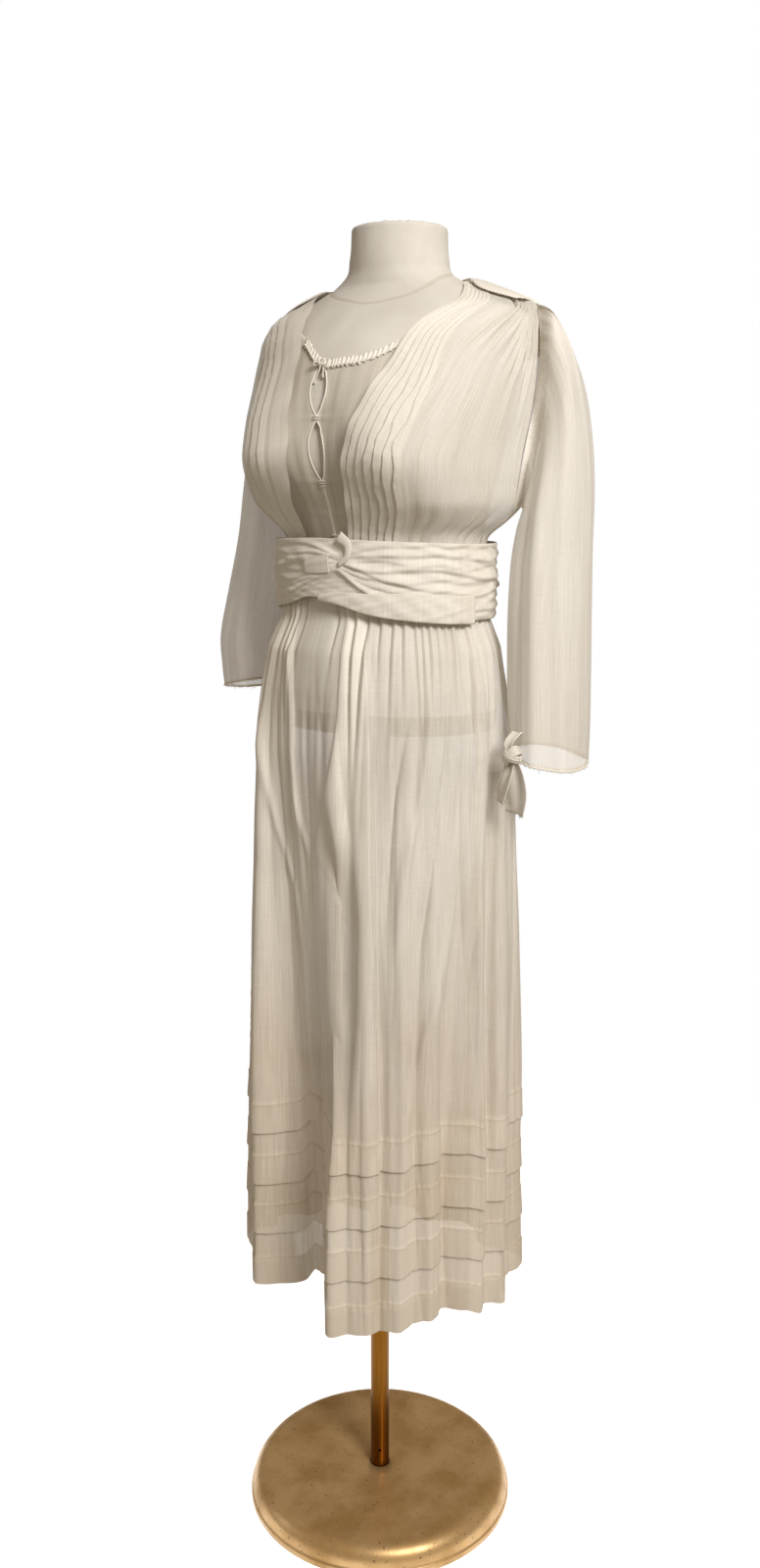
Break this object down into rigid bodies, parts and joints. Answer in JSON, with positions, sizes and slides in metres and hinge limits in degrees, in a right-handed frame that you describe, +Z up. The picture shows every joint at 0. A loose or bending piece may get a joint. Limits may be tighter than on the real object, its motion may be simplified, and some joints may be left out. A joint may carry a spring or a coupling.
{
  "type": "tea dress on a dress form",
  "caption": "Sheer cotton voile tea dress with tucked fronts, a folded sash, wide tied sleeves and a tucked skirt, on a limbless dress form with a gilt pole and round base.",
  "frame": {"origin": "middle of the base's flat underside, on the pole's axis", "axes": "+Z up along the pole, -Y the front of the dress, +X the wearer's left side"},
  "size_m": [0.5163, 0.356, 1.661],
  "materials": {
    "voile": "sheer cream cotton voile, plain weave, soft folds",
    "fine_voile": "finer and sheerer cream cotton voile",
    "jersey": "cream cotton jersey stretched over a padded form",
    "gilt_base": "satin gilt paint on a turned steel base, chipped at the rim",
    "gilt_pole": "satin gilt paint on a steel tube"
  },
  "bodies": {
    "root": {"stand_base": "gilt_base", "stand_pole": "gilt_pole", "form_torso": "jersey", "vest_left": "fine_voile", "vest_right": "fine_voile", "neck_trim": "fine_voile", "neck_tie": "fine_voile", "bodice_front_left": "voile", "bodice_front_right": "voile", "bodice_back": "voile", "back_yoke": "voile", "sleeve_left": "voile", "sleeve_right": "voile", "sash": "voile", "sash_wrap": "voile", "sash_tab": "voile", "skirt_front": "voile", "skirt_back": "voile", "cuff_tie_left": "voile", "cuff_tie_right": "voile"}
  },
  "joints": []
}
